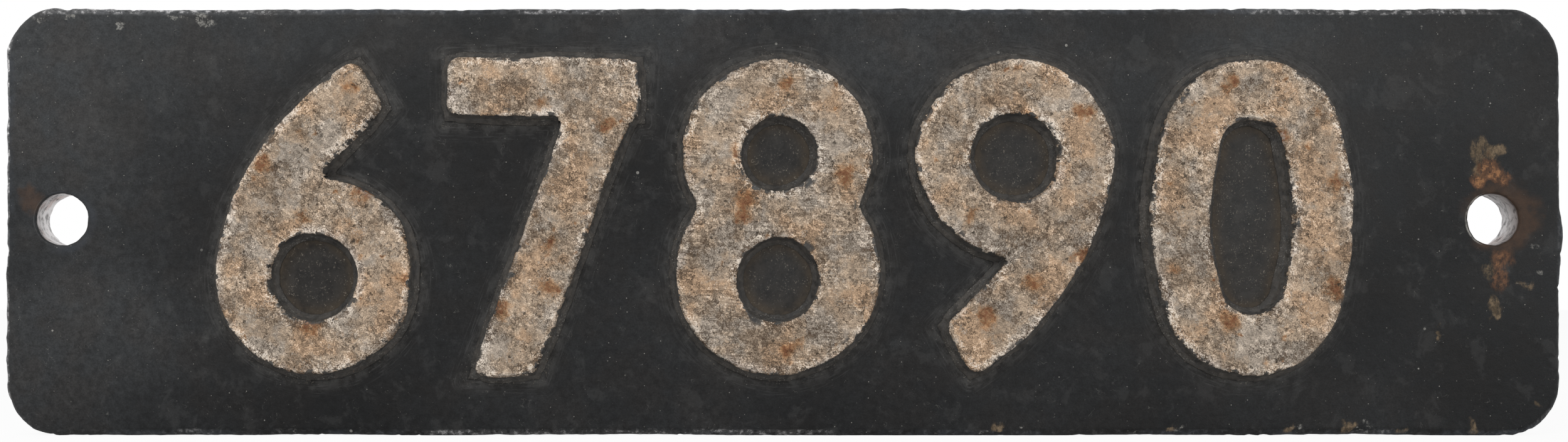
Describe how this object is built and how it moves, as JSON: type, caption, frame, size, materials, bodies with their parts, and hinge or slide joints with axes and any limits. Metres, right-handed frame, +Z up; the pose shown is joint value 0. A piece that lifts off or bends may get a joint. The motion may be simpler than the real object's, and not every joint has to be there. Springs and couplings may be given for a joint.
{
  "type": "locomotive number plate",
  "caption": "Long cast iron number plate with rounded corners, raised worn cream figures on a black field, and a bolt hole near each end for fixing it to a flat door.",
  "frame": {"origin": "middle of the flat back face", "axes": "+X along the length, to the right seen from the front; +Z up; the figures face -Y and the back face looks along +Y"},
  "size_m": [0.602, 0.0191, 0.165],
  "materials": {
    "black_paint": "cast iron under old satin black paint, dusty, scuffed, with rust by the bolt holes",
    "cream_paint": "cast iron figures, faces in worn cream paint with rust spots, walls in black paint"
  },
  "bodies": {
    "root": {"base_plate": "black_paint", "numeral_6": "cream_paint", "numeral_7": "cream_paint", "numeral_8": "cream_paint", "numeral_9": "cream_paint", "numeral_0": "cream_paint"}
  },
  "joints": []
}
